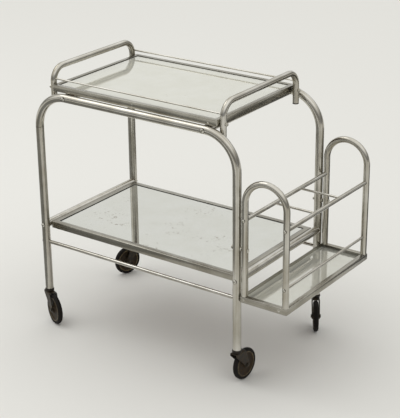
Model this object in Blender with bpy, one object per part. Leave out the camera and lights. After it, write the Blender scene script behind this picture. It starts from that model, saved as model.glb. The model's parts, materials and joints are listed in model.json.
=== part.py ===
"""A bar cart on casters: two tube side frames, a lift-off tray, a shelf and a bottle holder.

Metres, +Z up, and the floor is Z = 0. X runs along the cart, from its plain end on the left to
the bottle holder on the right. Y runs across it, from the near side frame to the far one.
The tubes are bent aluminium, and the tray, the shelf and the bottle holder each have a mirror
in a C-section rim. Each leg stands on a caster that swivels about the leg's axis.
"""

import math

import bmesh
import bpy
from mathutils import Matrix, Vector

# ---- Driving dimensions -------------------------------------------------------------------
GAP = 0.0003  # room left between two pieces that touch
TINY = 1e-6  # two places closer than this are one

LEFT_X = -0.34105  # axis of the left legs
NEAR_Y = -0.16687  # plane of the near side frame
LEG_SPACING = 0.572  # between the legs of one side frame
FRAME_SPACING = 0.350  # between the two side frames
RIGHT_X = LEFT_X + LEG_SPACING
FAR_Y = NEAR_Y + FRAME_SPACING

TUBE_R = 0.010  # side frames and their cross tubes
TUBE_WALL = 0.0015
FOOT_Z = 0.082  # lower end of the legs
RAIL_Z = 0.602  # axis of the side frames' top rails
FRAME_BEND_R = 0.084
CROSSBAR_INSET = 0.0855  # from the leg axis to the top crossbar
CROSS_TUBE_Z = 0.262  # axis of the tubes that carry the shelf
STRETCHER_Z = 0.217
STRETCHER_R = 0.0045
CROSSBAR_BOLT_R = 0.003
BOLT_ROOM = 0.0004  # between a bolt and its hole
REACH = 0.020  # from the axis of a tube to the ends of a cutter across it

SHELF_TOP = 0.268
SHELF_HEIGHT = 0.0165
SHELF_FLANGE = 0.014
SHELF_LEDGE = 0.010
SHELF_CORNER_R = 0.002

TRAY_LEFT = LEFT_X + 0.0433
TRAY_RIGHT = LEFT_X + 0.5153
TRAY_NEAR = NEAR_Y + 0.0052
TRAY_FAR = NEAR_Y + 0.3265
TRAY_BOTTOM = RAIL_Z + TUBE_R + GAP
TRAY_HEIGHT = 0.015
TRAY_FLANGE = 0.0105
TRAY_LEDGE = 0.009
TRAY_CORNER_R = 0.0025
RIM_WALL = 0.0016
RIM_EDGE_R = 0.0012
PANE_INSET = 0.0055  # from a rim's outer face to the edge of its mirror
PANE_THICKNESS = 0.004

HANDLE_R = 0.0075  # handles and bottle arches
HANDLE_TOP = 0.6634  # axis of the handle's grip
HANDLE_FOOT = 0.586
HANDLE_BEND_R = 0.034
HANDLE_NEAR = NEAR_Y + 0.0188
HANDLE_FAR = NEAR_Y + 0.3172
HANDLE_LEFT = TRAY_LEFT - HANDLE_R - GAP
HANDLE_RIGHT = TRAY_RIGHT + HANDLE_R + GAP
TRAY_BOLT_Z = 0.617
TRAY_BOLT_R = 0.002
GALLERY_Z = 0.639
GALLERY_R = 0.002

POST_INNER_X = LEFT_X + 0.5935
POST_OUTER_X = LEFT_X + 0.7005
ARCH_TOP = 0.508  # axis of the arch at its crown
HOLDER_TOP = 0.229  # top of the bottle holder's floor rim
HOLDER_HEIGHT = 0.0145
HOLDER_FLANGE = 0.012
HOLDER_LEDGE = 0.009
HOLDER_CORNER_R = 0.0015
HOLDER_MARGIN = 0.001  # its rim stands this far inboard of the arches
HOLDER_BOARD = 0.0018
HOLDER_RAIL_Z = 0.414
HOLDER_RAIL_R = 0.005
DIVIDER_R = 0.00275
DIVIDER_PLACES = (0.119, 0.228)  # from the near frame's plane
LOWER_ROD_Z = 0.275
LOWER_ROD_R = 0.00325
HOLDER_BOLT_Z = 0.342
HOLDER_BOLT_R = 0.0025
BOLT_DOME = 0.0024  # height of a domed bolt head

WHEEL_R = 0.0385
WHEEL_WIDTH = 0.0126
TRAIL = 0.028  # from the swivel axis to the axle
FORK_TOP = 0.0798
FORK_SHEET = 0.002
FORK_WIDTH = 0.020
AXLE_R = 0.003
STEM_R = 0.004
STEM_ROOM = 0.00015
RIM_R = 0.031  # of the wheel, inside its tyre
RIM_HALF = 0.005
# Rest angle of each caster, from +X to the side on which its wheel trails.
CASTERS = {
    "near_left": (LEFT_X, NEAR_Y, 334.5),
    "near_right": (RIGHT_X, NEAR_Y, 87.0),
    "far_left": (LEFT_X, FAR_Y, 251.4),
    "far_right": (RIGHT_X, FAR_Y, 303.5),
}


# ---- Materials ----------------------------------------------------------------------------
def material(name, colour, roughness, metallic):
    """A plain Principled material."""
    made = bpy.data.materials.new(name)
    made.use_nodes = True
    shader = made.node_tree.nodes["Principled BSDF"]
    shader.inputs["Base Color"].default_value = (*colour, 1)
    shader.inputs["Roughness"].default_value = roughness
    shader.inputs["Metallic"].default_value = metallic
    made.diffuse_color = (*colour, 1)
    return made


def make_materials():
    """Each material of the cart, by name."""
    return {
        "aluminium": material("aluminium", (0.62, 0.60, 0.54), 0.30, 1),
        "mirror": material("mirror", (0.80, 0.83, 0.80), 0.04, 1),
        "board": material("board", (0.25, 0.17, 0.10), 0.80, 0),
        "steel": material("steel", (0.50, 0.49, 0.46), 0.35, 1),
        "cap": material("cap", (0.02, 0.02, 0.02), 0.50, 0),
        "collar": material("collar", (0.03, 0.025, 0.02), 0.45, 0),
        "fork": material("fork", (0.05, 0.042, 0.025), 0.45, 1),
        "wheel": material("wheel", (0.05, 0.045, 0.04), 0.50, 0),
        "tyre": material("tyre", (0.012, 0.010, 0.008), 0.60, 0),
    }


# ---- Shapes -------------------------------------------------------------------------------
def add_object(name, mesh, finish):
    """A named object for a mesh, shaded smooth across its shallow angles."""
    mesh.materials.clear()
    mesh.materials.append(finish)
    mesh.shade_smooth()
    mesh.set_sharp_from_angle(angle=math.radians(35))
    made = bpy.data.objects.new(name, mesh)
    bpy.context.scene.collection.objects.link(made)
    return made


def mesh_from(shape, name):
    """The mesh of a bmesh, with its faces turned outward."""
    bmesh.ops.recalc_face_normals(shape, faces=shape.faces)
    mesh = bpy.data.meshes.new(name)
    shape.to_mesh(mesh)
    shape.free()
    return mesh


def swept(name, points, radius, finish, wall=0, sides=12):
    """A round rod along the points, or a tube of that wall, as a bevelled curve."""
    curve = bpy.data.curves.new(name, "CURVE")
    curve.dimensions = "3D"
    curve.bevel_depth = radius
    curve.bevel_resolution = sides // 2 - 2
    curve.render_resolution_u = 0
    curve.use_fill_caps = wall == 0
    line = curve.splines.new("POLY")
    line.points.add(len(points) - 1)
    for point, place in zip(line.points, points):
        point.co = (*place, 1)
    guide = bpy.data.objects.new(name + "_curve", curve)
    bpy.context.scene.collection.objects.link(guide)
    if wall:
        hollow = guide.modifiers.new("wall", "SOLIDIFY")
        hollow.thickness = wall
        hollow.offset = -1
    depsgraph = bpy.context.evaluated_depsgraph_get()
    mesh = bpy.data.meshes.new_from_object(guide.evaluated_get(depsgraph))
    bpy.data.objects.remove(guide, do_unlink=True)
    shape = bmesh.new()
    shape.from_mesh(mesh)
    bmesh.ops.remove_doubles(shape, verts=shape.verts, dist=TINY)
    return add_object(name, mesh_from(shape, name), finish)


def arc(centre, radius, start, end, steps, side, up):
    """Points on an arc in the plane of two unit vectors, from one angle in degrees to another."""
    points = []
    for step in range(steps + 1):
        angle = math.radians(start + (end - start) * step / steps)
        direction = math.cos(angle) * Vector(side) + math.sin(angle) * Vector(up)
        points.append(Vector(centre) + radius * direction)
    return points


def hoop(foot_a, foot_b, top, bend, steps):
    """An upside-down U: two vertical legs, two bends and the bar between them."""
    across = (Vector(foot_b) - Vector(foot_a)).normalized()
    centre_a = Vector((foot_a[0], foot_a[1], top - bend)) + bend * across
    centre_b = Vector((foot_b[0], foot_b[1], top - bend)) - bend * across
    points = [Vector(foot_a)]
    points += arc(centre_a, bend, 180, 90, steps, across, (0, 0, 1))
    far_side = arc(centre_b, bend, 90, 0, steps, across, (0, 0, 1))
    if (far_side[0] - points[-1]).length < GAP:
        far_side = far_side[1:]
    points += far_side
    points.append(Vector(foot_b))
    return points


def turned(name, profile, finish, steps=32, turn=None, place=(0, 0, 0), closed=False):
    """A profile of (radius, height) points turned about Z, then rotated and placed."""
    shape = bmesh.new()
    verts = [shape.verts.new((radius, 0, height)) for radius, height in profile]
    edges = [shape.edges.new(pair) for pair in zip(verts, verts[1:])]
    if closed:
        edges.append(shape.edges.new((verts[-1], verts[0])))
    parts = verts + edges
    centre = Vector((0, 0, 0))
    axis = Vector((0, 0, 1))
    bmesh.ops.spin(shape, geom=parts, cent=centre, axis=axis, angle=math.tau, steps=steps, use_merge=True)
    bmesh.ops.remove_doubles(shape, verts=shape.verts, dist=TINY)
    if turn is not None:
        bmesh.ops.transform(shape, matrix=turn, verts=shape.verts)
    made = add_object(name, mesh_from(shape, name), finish)
    made.location = place
    return made


def block(name, low, high, finish):
    """A rectangular block between two corners."""
    shape = bmesh.new()
    bmesh.ops.create_cube(shape, size=1)
    size = Vector(high) - Vector(low)
    middle = (Vector(high) + Vector(low)) / 2
    bmesh.ops.transform(shape, matrix=Matrix.LocRotScale(middle, None, size), verts=shape.verts)
    return add_object(name, mesh_from(shape, name), finish)


def rim(name, low, high, section, finish, corner):
    """A rectangular rim: a closed section of (inset, height) points, mitred at the corners."""
    shape = bmesh.new()
    rings = []
    for inset, height in section:
        ring = []
        left = low[0] + inset
        right = high[0] - inset
        near = low[1] + inset
        far = high[1] - inset
        for x, y in ((left, near), (right, near), (right, far), (left, far)):
            ring.append(shape.verts.new((x, y, height)))
        rings.append(ring)
    for ring, following in zip(rings, rings[1:] + rings[:1]):
        for side in range(4):
            after = (side + 1) % 4
            shape.faces.new((ring[side], ring[after], following[after], following[side]))
    outer = [edge for edge in shape.edges if is_outer_upright(edge, low, high)]
    bmesh.ops.bevel(shape, geom=outer, offset=corner, segments=2, profile=0.5, affect="EDGES")
    return add_object(name, mesh_from(shape, name), finish)


def is_outer_upright(edge, low, high):
    """Whether an edge is one of a rim's four outer vertical corners."""
    first, second = (vert.co for vert in edge.verts)
    upright = (first - second).to_2d().length < TINY
    on_x = min(abs(first.x - low[0]), abs(first.x - high[0])) < TINY
    on_y = min(abs(first.y - low[1]), abs(first.y - high[1])) < TINY
    return upright and on_x and on_y


def cut(target, cutters):
    """Cut the cutters' shapes out of a target."""
    for cutter in cutters:
        cutter.hide_render = True
        cutter.display_type = "WIRE"
        modifier = target.modifiers.new("cut", "BOOLEAN")
        modifier.operation = "DIFFERENCE"
        modifier.solver = "EXACT"
        modifier.object = cutter


def drill(name, start, end, radius, finish):
    """A cylinder from one point to another, to cut a hole or a saddle with."""
    start = Vector(start)
    run = Vector(end) - start
    turn = run.to_track_quat("Z", "Y").to_matrix().to_4x4()
    profile = [(0, 0), (radius, 0), (radius, run.length), (0, run.length)]
    return turned(name, profile, finish, steps=16, turn=turn, place=start)


# ---- Pieces -------------------------------------------------------------------------------
def domed_end(head_radius, height, out):
    """Half of a bolt's profile: a domed head whose flat side is at a height, bulging outward."""
    dome = []
    for step in range(4):
        angle = math.radians(30 * step)
        dome.append((head_radius * math.sin(angle), height + out * BOLT_DOME * math.cos(angle)))
    return dome


def side_frame(name, y, mats):
    """One bent tube that is both legs and the top rail of a side, and the room that it takes."""
    path = hoop((LEFT_X, y, FOOT_Z), (RIGHT_X, y, FOOT_Z), RAIL_Z, FRAME_BEND_R, 7)
    frame = swept(name, path, TUBE_R, mats["aluminium"], TUBE_WALL, 16)
    holes = []
    for side, x in (("left", LEFT_X + CROSSBAR_INSET), ("right", RIGHT_X - CROSSBAR_INSET)):
        start = (x, y - REACH, RAIL_Z)
        end = (x, y + REACH, RAIL_Z)
        hole_r = CROSSBAR_BOLT_R + BOLT_ROOM
        holes.append(drill(f"hole_{name}_{side}", start, end, hole_r, mats["steel"]))
    start = (RIGHT_X - REACH, y, HOLDER_BOLT_Z)
    end = (RIGHT_X + REACH, y, HOLDER_BOLT_Z)
    hole_r = HOLDER_BOLT_R + BOLT_ROOM
    holes.append(drill(f"hole_{name}_holder", start, end, hole_r, mats["steel"]))
    cut(frame, holes)
    return swept(f"room_{name}", path, TUBE_R + GAP, mats["steel"], sides=16)


def cross_tubes(rooms, mats):
    """The pieces across the cart, and the rods along it, each saddled to the tubes it meets."""
    for side, x in (("left", LEFT_X + CROSSBAR_INSET), ("right", RIGHT_X - CROSSBAR_INSET)):
        path = [(x, NEAR_Y, RAIL_Z), (x, FAR_Y, RAIL_Z)]
        cut(swept(f"top_crossbar_{side}", path, TUBE_R, mats["aluminium"], TUBE_WALL, 16), rooms)
        crossbar_bolt(f"crossbar_bolt_{side}", x, mats)
    for side, x in (("left", LEFT_X), ("right", RIGHT_X)):
        path = [(x, NEAR_Y, CROSS_TUBE_Z), (x, FAR_Y, CROSS_TUBE_Z)]
        cut(swept(f"shelf_cross_tube_{side}", path, TUBE_R, mats["aluminium"], TUBE_WALL, 16), rooms)
    for depth, y, room in (("near", NEAR_Y, rooms[0]), ("far", FAR_Y, rooms[1])):
        path = [(LEFT_X, y, STRETCHER_Z), (RIGHT_X, y, STRETCHER_Z)]
        cut(swept(f"low_stretcher_{depth}", path, STRETCHER_R, mats["aluminium"]), [room])


def crossbar_bolt(name, x, mats):
    """The long bolt through both side frames and the crossbar between them."""
    head = 0.0055
    near_face = -TUBE_R - GAP
    far_face = FRAME_SPACING + TUBE_R + GAP
    profile = domed_end(head, near_face, -1)
    profile += [(CROSSBAR_BOLT_R, near_face), (CROSSBAR_BOLT_R, far_face)]
    profile += list(reversed(domed_end(head, far_face, 1)))
    turn = Matrix.Rotation(math.radians(-90), 4, "X")
    return turned(name, profile, mats["steel"], 12, turn, (x, NEAR_Y, RAIL_Z))


def c_section(top, height, flange, ledge):
    """The rim's C-section: a web outside, a flange above the mirror and a ledge under its board."""
    bottom = top - height
    centre = (RIM_EDGE_R, 0, top - RIM_EDGE_R)
    corner = arc(centre, RIM_EDGE_R, 180, 90, 3, (1, 0, 0), (0, 0, 1))
    return [
        (0, bottom),
        *((point.x, point.z) for point in corner),
        (flange, top),
        (flange, top - RIM_WALL),
        (RIM_WALL, top - RIM_WALL),
        (RIM_WALL, bottom + RIM_WALL),
        (ledge, bottom + RIM_WALL),
        (ledge, bottom),
    ]


def mirror_and_board(name, low, high, pane_top, board_bottom, mats):
    """A mirror and the board that backs it, inside a rim between two corners."""
    inner_low = (low[0] + PANE_INSET, low[1] + PANE_INSET)
    inner_high = (high[0] - PANE_INSET, high[1] - PANE_INSET)
    pane_bottom = pane_top - PANE_THICKNESS
    block(f"{name}_mirror", (*inner_low, pane_bottom), (*inner_high, pane_top), mats["mirror"])
    board_top = pane_bottom - GAP
    block(f"{name}_backing", (*inner_low, board_bottom), (*inner_high, board_top), mats["board"])


def shelf(mats):
    """The lower deck, between the legs and level with its cross tubes."""
    clear = TUBE_R + GAP
    low = (LEFT_X + clear, NEAR_Y + clear)
    high = (RIGHT_X - clear, FAR_Y - clear)
    section = c_section(SHELF_TOP, SHELF_HEIGHT, SHELF_FLANGE, SHELF_LEDGE)
    rim("shelf_frame", low, high, section, mats["aluminium"], SHELF_CORNER_R)
    pane_top = SHELF_TOP - RIM_WALL - GAP
    board_bottom = SHELF_TOP - SHELF_HEIGHT + RIM_WALL + GAP
    mirror_and_board("shelf", low, high, pane_top, board_bottom, mats)


def tray(mats):
    """The lift-off tray: rim, mirror, two handles and the gallery rods between them."""
    low = (TRAY_LEFT, TRAY_NEAR)
    high = (TRAY_RIGHT, TRAY_FAR)
    top = TRAY_BOTTOM + TRAY_HEIGHT
    section = c_section(top, TRAY_HEIGHT, TRAY_FLANGE, TRAY_LEDGE)
    frame = rim("tray_frame", low, high, section, mats["aluminium"], TRAY_CORNER_R)
    mirror_and_board("tray", low, high, top - RIM_WALL - GAP, TRAY_BOTTOM + RIM_WALL + GAP, mats)
    sockets = {}
    for depth, y in (("near", HANDLE_NEAR), ("far", HANDLE_FAR)):
        for side, x in (("left", HANDLE_LEFT), ("right", HANDLE_RIGHT)):
            inward = 1 if side == "left" else -1
            start = (x - REACH, y, TRAY_BOLT_Z)
            end = (x + REACH, y, TRAY_BOLT_Z)
            hole_r = TRAY_BOLT_R + BOLT_ROOM
            sockets[depth, side] = drill(f"hole_tray_{depth}_{side}", start, end, hole_r, mats["steel"])
            tray_bolt(f"tray_bolt_{depth}_{side}", x, y, inward, mats)
            handle_cap(f"handle_cap_{depth}_{side}", x, y, mats)
    cut(frame, sockets.values())
    rooms = []
    for side, x in (("left", HANDLE_LEFT), ("right", HANDLE_RIGHT)):
        near_foot = (x, HANDLE_NEAR, HANDLE_FOOT)
        far_foot = (x, HANDLE_FAR, HANDLE_FOOT)
        path = hoop(near_foot, far_foot, HANDLE_TOP, HANDLE_BEND_R, 6)
        handle = swept(f"tray_handle_{side}", path, HANDLE_R, mats["aluminium"], TUBE_WALL, 12)
        cut(handle, [sockets["near", side], sockets["far", side]])
        rooms.append(swept(f"room_handle_{side}", path, HANDLE_R + GAP, mats["steel"], sides=12))
    for depth, y in (("near", HANDLE_NEAR), ("far", HANDLE_FAR)):
        path = [(HANDLE_LEFT, y, GALLERY_Z), (HANDLE_RIGHT, y, GALLERY_Z)]
        cut(swept(f"gallery_rod_{depth}", path, GALLERY_R, mats["aluminium"], sides=10), rooms)


def tray_bolt(name, x, y, inward, mats):
    """A bolt from the tray's end rail through a handle's leg, with its nut outboard."""
    nut_r = 0.0042
    nut_height = 0.003
    outboard = -HANDLE_R - GAP - 0.0055  # the threaded end stands out of the nut
    inboard = HANDLE_R + GAP + RIM_WALL + 0.0018
    nut_face = -HANDLE_R - GAP
    nut_top = nut_face - nut_height
    profile = [(0, outboard), (TRAY_BOLT_R, outboard), (TRAY_BOLT_R, nut_top), (nut_r, nut_top)]
    profile += [(nut_r, nut_face), (TRAY_BOLT_R, nut_face), (TRAY_BOLT_R, inboard), (0, inboard)]
    turn = Matrix.Rotation(math.radians(90 * inward), 4, "Y")
    return turned(name, profile, mats["steel"], 12, turn, (x, y, TRAY_BOLT_Z))


def handle_cap(name, x, y, mats):
    """The plug that closes the lower end of a handle's leg."""
    bore = HANDLE_R - TUBE_WALL - GAP
    button = 0.0028
    chamfer = 0.0008
    plug = 0.006
    profile = [
        (0, -button),
        (HANDLE_R - chamfer, -button),
        (HANDLE_R, chamfer - button),
        (HANDLE_R, -GAP),
        (bore, -GAP),
        (bore, plug),
        (0, plug),
    ]
    return turned(name, profile, mats["cap"], 20, place=(x, y, HANDLE_FOOT))


def bottle_holder(mats):
    """Two arches, the rails that part the bottles, and the mirror-floored rim that they stand on."""
    low = (POST_INNER_X - HANDLE_R - HOLDER_MARGIN, NEAR_Y - HANDLE_R)
    high = (POST_OUTER_X + HANDLE_R, FAR_Y + HANDLE_R)
    bottom = HOLDER_TOP - HOLDER_HEIGHT
    pane_top = bottom + RIM_WALL + 2 * GAP + PANE_THICKNESS
    section = c_section(HOLDER_TOP, HOLDER_HEIGHT, HOLDER_FLANGE, HOLDER_LEDGE)
    frame = rim("holder_frame", low, high, section, mats["aluminium"], HOLDER_CORNER_R)
    slot_low = (low[0] + RIM_WALL, low[1] + HOLDER_FLANGE, HOLDER_TOP - 2 * RIM_WALL)
    slot_high = (low[0] + 2 * HOLDER_FLANGE, high[1] - HOLDER_FLANGE, HOLDER_TOP + RIM_WALL)
    cut(frame, [block("slot_holder", slot_low, slot_high, mats["steel"])])
    inner_low = (low[0] + RIM_WALL + GAP, low[1] + RIM_WALL + GAP)
    inner_high = (high[0] - RIM_WALL - GAP, high[1] - RIM_WALL - GAP)
    pane_bottom = pane_top - PANE_THICKNESS
    block("holder_mirror", (*inner_low, pane_bottom), (*inner_high, pane_top), mats["mirror"])
    ledge = HOLDER_LEDGE + GAP
    board_low = (low[0] + ledge, low[1] + ledge)
    board_high = (high[0] - ledge, high[1] - ledge)
    board_top = pane_bottom - GAP
    board_bottom = board_top - HOLDER_BOARD
    block("holder_backing", (*board_low, board_bottom), (*board_high, board_top), mats["board"])
    rooms = []
    foot = HOLDER_TOP + GAP
    bend = (POST_OUTER_X - POST_INNER_X) / 2
    for depth, y in (("near", NEAR_Y), ("far", FAR_Y)):
        path = hoop((POST_INNER_X, y, foot), (POST_OUTER_X, y, foot), ARCH_TOP, bend, 6)
        arch = swept(f"holder_arch_{depth}", path, HANDLE_R, mats["aluminium"], TUBE_WALL, 12)
        start = (POST_INNER_X - REACH, y, HOLDER_BOLT_Z)
        end = (POST_INNER_X + REACH, y, HOLDER_BOLT_Z)
        hole_r = HOLDER_BOLT_R + BOLT_ROOM
        cut(arch, [drill(f"hole_arch_{depth}", start, end, hole_r, mats["steel"])])
        rooms.append(swept(f"room_arch_{depth}", path, HANDLE_R + GAP, mats["steel"], sides=12))
        holder_bolt(f"holder_bolt_{depth}", y, mats)
    holder_rails(rooms, mats)


def holder_rails(arch_rooms, mats):
    """The rails between the arches, and the dividers between the upper rails."""
    rail_rooms = []
    for side, x in (("inner", POST_INNER_X), ("outer", POST_OUTER_X)):
        path = [(x, NEAR_Y, HOLDER_RAIL_Z), (x, FAR_Y, HOLDER_RAIL_Z)]
        cut(swept(f"holder_upper_rail_{side}", path, HOLDER_RAIL_R, mats["aluminium"]), arch_rooms)
        rail_rooms.append(swept(f"room_rail_{side}", path, HOLDER_RAIL_R + GAP, mats["steel"]))
    for depth, place in zip(("near", "far"), DIVIDER_PLACES):
        y = NEAR_Y + place
        path = [(POST_INNER_X, y, HOLDER_RAIL_Z), (POST_OUTER_X, y, HOLDER_RAIL_Z)]
        cut(swept(f"holder_divider_{depth}", path, DIVIDER_R, mats["aluminium"], sides=10), rail_rooms)
    path = [(POST_OUTER_X, NEAR_Y, LOWER_ROD_Z), (POST_OUTER_X, FAR_Y, LOWER_ROD_Z)]
    cut(swept("holder_lower_rod", path, LOWER_ROD_R, mats["aluminium"], sides=10), arch_rooms)


def holder_bolt(name, y, mats):
    """The bolt that ties an arch to its leg: nut, shank, spacer between the tubes, and head."""
    shank = HOLDER_BOLT_R
    nut_r = 0.0045
    nut_height = 0.0035
    head = 0.005
    nut_face = RIGHT_X - TUBE_R - GAP
    leg_side = RIGHT_X + TUBE_R + GAP
    post_side = POST_INNER_X - HANDLE_R - GAP
    head_face = POST_INNER_X + HANDLE_R + GAP
    profile = [(0, nut_face - nut_height), (nut_r, nut_face - nut_height), (nut_r, nut_face)]
    profile += [(shank, nut_face), (shank, leg_side), (nut_r, leg_side), (nut_r, post_side)]
    profile += [(shank, post_side), (shank, head_face)]
    profile += list(reversed(domed_end(head, head_face, 1)))
    turn = Matrix.Rotation(math.radians(90), 4, "Y")
    return turned(name, profile, mats["steel"], 12, turn, (0, y, HOLDER_BOLT_Z))


def collar(name, x, y, mats):
    """The collar in a leg's foot: a plug up the tube, a skirt round it and a riveted stem below."""
    leg_room = TUBE_R + GAP
    plug = TUBE_R - TUBE_WALL - GAP
    plug_top = FOOT_Z + 0.020
    plate_top = FOOT_Z - GAP
    skirt = leg_room + 0.001
    skirt_top = FOOT_Z + 0.0055
    bottom = FORK_TOP + GAP
    rivet_r = 0.0055
    rivet_top = FORK_TOP - FORK_SHEET - GAP
    rivet_bottom = rivet_top - 0.002
    profile = [(0, rivet_bottom), (rivet_r, rivet_bottom), (rivet_r, rivet_top), (STEM_R, rivet_top)]
    profile += [(STEM_R, bottom), (skirt, bottom), (skirt, skirt_top), (leg_room, skirt_top)]
    profile += [(leg_room, plate_top), (plug, plate_top), (plug, plug_top), (0, plug_top)]
    return turned(f"caster_collar_{name}", profile, mats["collar"], 20, place=(x, y, 0))


def caster(name, x, y, angle, mats):
    """A swivel caster: collar with its stem, fork, axle, wheel and tyre."""
    collar(name, x, y, mats)
    swivel = bpy.data.objects.new(f"swivel_{name}", None)
    swivel.location = (x, y, 0)
    swivel.rotation_euler = (0, 0, math.radians(angle))
    axle = bpy.data.objects.new(f"axle_line_{name}", None)
    axle.location = (TRAIL, 0, WHEEL_R)
    axle.parent = swivel
    for guide in (swivel, axle):
        bpy.context.scene.collection.objects.link(guide)
    fork(name, swivel, mats)
    for piece in (axle_bolt(name, mats), wheel(name, mats), tyre(name, mats)):
        piece.parent = axle


LYING = Matrix.Rotation(math.radians(-90), 4, "X")  # turns a profile's axis into the axle's


def axle_bolt(name, mats):
    """The bolt that a wheel turns on, with a nut on each cheek of the fork."""
    nut_r = 0.005
    nut_inside = FORK_WIDTH / 2 + GAP
    nut_outside = nut_inside + 0.0022
    profile = [(0, -nut_outside), (nut_r, -nut_outside), (nut_r, -nut_inside), (AXLE_R, -nut_inside)]
    profile += [(radius, -height) for radius, height in reversed(profile)]
    return turned(f"caster_axle_{name}", profile, mats["steel"], 16, LYING)


def wheel(name, mats):
    """A wheel's moulded disc: hub, thin web and rim."""
    bore = AXLE_R + 0.0001
    hub_r = 0.009
    hub_half = 0.0068
    web_half = 0.0032
    web_inside = hub_r + 0.002
    web_outside = 0.026
    rim_inside = 0.0275
    half = [(bore, -hub_half), (hub_r, -hub_half), (web_inside, -web_half)]
    half += [(web_outside, -web_half), (rim_inside, -RIM_HALF), (RIM_R, -RIM_HALF)]
    other_half = [(radius, -height) for radius, height in reversed(half)]
    return turned(f"caster_wheel_{name}", half + other_half, mats["wheel"], 24, LYING, closed=True)


def tyre(name, mats):
    """A wheel's rubber tyre, flat on the tread with rounded shoulders."""
    half_width = WHEEL_WIDTH / 2
    half = [
        (RIM_R + GAP, -RIM_HALF),
        (WHEEL_R - 0.004, -half_width),
        (WHEEL_R - 0.001, -half_width + 0.0014),
        (WHEEL_R, -half_width + 0.0038),
    ]
    other_half = [(radius, -height) for radius, height in reversed(half)]
    return turned(f"caster_tyre_{name}", half + other_half, mats["tyre"], 40, LYING, closed=True)


def fork(name, swivel, mats):
    """A pressed fork: a crown plate with two cheeks that taper down to the axle."""
    half = FORK_WIDTH / 2
    ear_r = 0.0075
    skirt_z = FORK_TOP - 0.0065
    heel_x = -0.013
    toe_x = 0.0235
    crown_x = 0.021
    bend = 0.0022
    ear = arc((TRAIL, 0, WHEEL_R), ear_r, 212, 375, 6, (1, 0, 0), (0, 0, 1))
    outline = [Vector((heel_x, 0, FORK_TOP)), Vector((heel_x, 0, skirt_z))]
    outline += ear + [Vector((toe_x, 0, skirt_z)), Vector((crown_x, 0, FORK_TOP))]
    shape = bmesh.new()
    cheek = shape.faces.new([shape.verts.new(point - Vector((0, half, 0))) for point in outline])
    grown = bmesh.ops.extrude_face_region(shape, geom=[cheek])
    moved = [item for item in grown["geom"] if isinstance(item, bmesh.types.BMVert)]
    bmesh.ops.translate(shape, verts=moved, vec=(0, FORK_WIDTH, 0))
    long_edges = [edge for edge in shape.edges if is_crown_edge(edge, half)]
    bmesh.ops.bevel(shape, geom=long_edges, offset=bend, segments=3, profile=0.5, affect="EDGES")
    made = add_object(f"caster_fork_{name}", mesh_from(shape, name), mats["fork"])
    inside = half - FORK_SHEET
    slot_low = (-2 * TRAIL, -inside, 0)
    slot_high = (2 * TRAIL, inside, FORK_TOP - FORK_SHEET)
    slot = block(f"slot_fork_{name}", slot_low, slot_high, mats["steel"])
    start = (0, 0, FORK_TOP - REACH / 2)
    end = (0, 0, FORK_TOP + REACH / 2)
    stem_hole = drill(f"hole_stem_{name}", start, end, STEM_R + STEM_ROOM, mats["steel"])
    start = (TRAIL, -REACH, WHEEL_R)
    end = (TRAIL, REACH, WHEEL_R)
    axle_hole = drill(f"hole_axle_{name}", start, end, AXLE_R + GAP, mats["steel"])
    cut(made, [slot, stem_hole, axle_hole])
    for piece in (made, slot, stem_hole, axle_hole):
        piece.parent = swivel


def is_crown_edge(edge, half):
    """Whether an edge is one of the two bends between a fork's crown and its cheeks."""
    first, second = (vert.co for vert in edge.verts)
    on_crown = min(first.z, second.z) > FORK_TOP - TINY
    on_side = abs(abs(first.y) - half) < TINY
    return on_crown and on_side and abs(first.y - second.y) < TINY


def build():
    """Make every piece of the cart."""
    for old in list(bpy.data.objects):
        bpy.data.objects.remove(old, do_unlink=True)
    mats = make_materials()
    rooms = [side_frame("side_frame_near", NEAR_Y, mats), side_frame("side_frame_far", FAR_Y, mats)]
    cross_tubes(rooms, mats)
    shelf(mats)
    tray(mats)
    bottle_holder(mats)
    for name, (x, y, angle) in CASTERS.items():
        caster(name, x, y, angle, mats)


build()
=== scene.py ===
# %% [markdown]
# # A bar cart of bent aluminium tube
#
# This lesson dresses a bar cart that was already designed as a set of plain solids. The solids are the
# frame: they say where every tube, rim, screw and wheel is. Here each one gets a smooth surface with
# the small details of the real piece, and a material built from what that piece is made of.

import json
import math

import bmesh
import bpy
import numpy as np
from mathutils import Matrix, Vector


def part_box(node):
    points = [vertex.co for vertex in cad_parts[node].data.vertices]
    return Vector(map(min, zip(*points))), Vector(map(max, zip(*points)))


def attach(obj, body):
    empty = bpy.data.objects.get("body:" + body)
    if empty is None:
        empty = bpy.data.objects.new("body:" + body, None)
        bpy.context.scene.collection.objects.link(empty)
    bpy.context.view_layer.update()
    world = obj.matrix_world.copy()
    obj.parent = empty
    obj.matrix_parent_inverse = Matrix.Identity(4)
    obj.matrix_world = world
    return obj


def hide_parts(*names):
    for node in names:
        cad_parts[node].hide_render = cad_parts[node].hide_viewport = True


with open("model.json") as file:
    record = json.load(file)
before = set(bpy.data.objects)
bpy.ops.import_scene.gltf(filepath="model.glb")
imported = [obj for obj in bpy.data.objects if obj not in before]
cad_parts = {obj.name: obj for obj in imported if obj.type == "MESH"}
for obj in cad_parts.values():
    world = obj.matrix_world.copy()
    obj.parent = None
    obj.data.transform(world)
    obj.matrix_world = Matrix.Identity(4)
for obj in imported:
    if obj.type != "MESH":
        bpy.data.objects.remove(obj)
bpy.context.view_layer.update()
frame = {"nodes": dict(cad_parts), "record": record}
joints = {joint["name"]: joint for joint in frame["record"]["behaviour"]["joints"]}

# %% [markdown]
# ## Surfaces from numbers
#
# Nearly every piece of this cart is a bent tube, a turned part or an extruded rim. Each of these is a
# function of two parameters: how far along the piece, and how far round its section. So one helper is
# enough to turn a grid of points into quads, and the shapes below only work out where the points are.
#
# Drawn and polished metal has a grain that follows the piece round its bends. So every point also
# carries its place in the metal: two coordinates in the section, and the third along the piece.


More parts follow.
